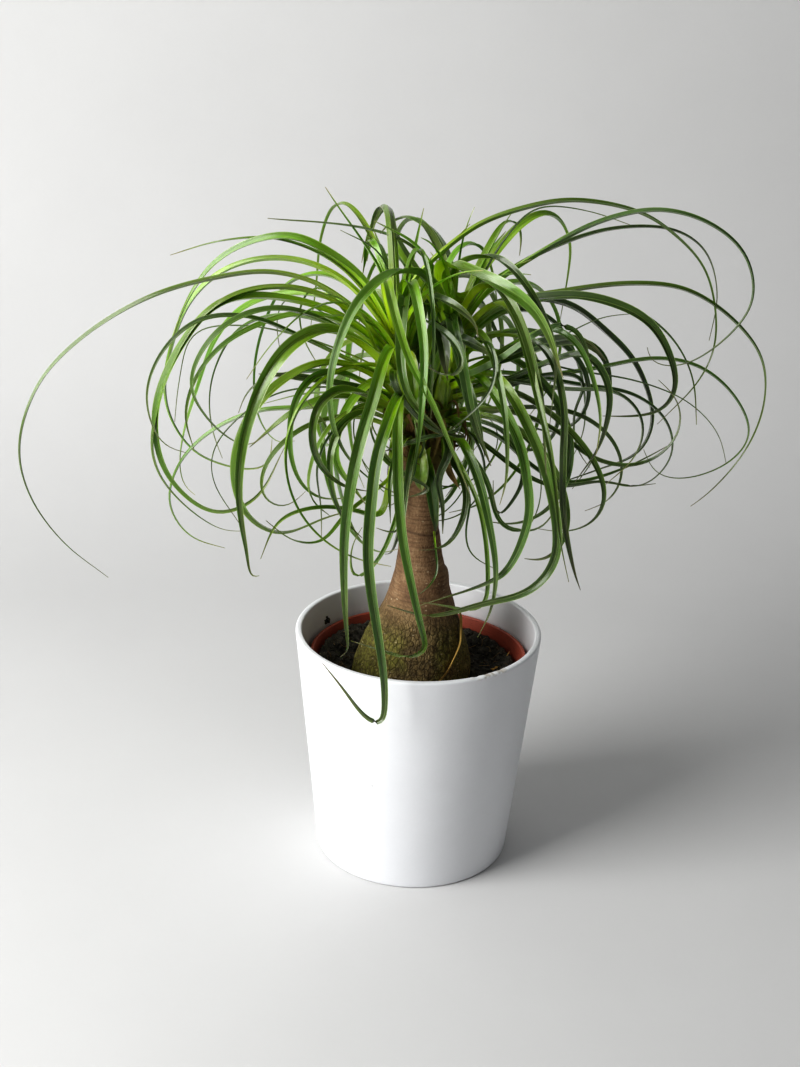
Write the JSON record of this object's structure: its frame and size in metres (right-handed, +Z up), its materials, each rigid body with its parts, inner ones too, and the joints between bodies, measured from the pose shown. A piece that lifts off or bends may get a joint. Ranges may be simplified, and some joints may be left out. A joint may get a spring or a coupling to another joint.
{
  "type": "potted ponytail palm",
  "caption": "House plant with a swollen forked stem and two heads of long arching strap leaves, in a nursery pot of soil inside a tapered white cover pot.",
  "frame": {"origin": "centre of the cover pot's underside, on the surface that it stands on", "axes": "+Z up, -Y towards the front of the plant, +X to its right seen from the front"},
  "size_m": [0.5498, 0.2492, 0.5191],
  "materials": {
    "white_glaze": "satin white glaze",
    "red_plastic": "satin, thin injection-moulded",
    "potting_soil": "dark crumbly bark compost",
    "bark": "cracked bark with ring scars",
    "dry_straw": "dry and papery",
    "leaf": "satin waxy leaf"
  },
  "bodies": {
    "root": {"cover_pot": "white_glaze", "nursery_pot": "red_plastic", "soil": "potting_soil", "trunk": "bark", "dry_leaf": "dry_straw", "dry_straw": "dry_straw", "right_head": "leaf", "left_head": "leaf"}
  },
  "joints": []
}
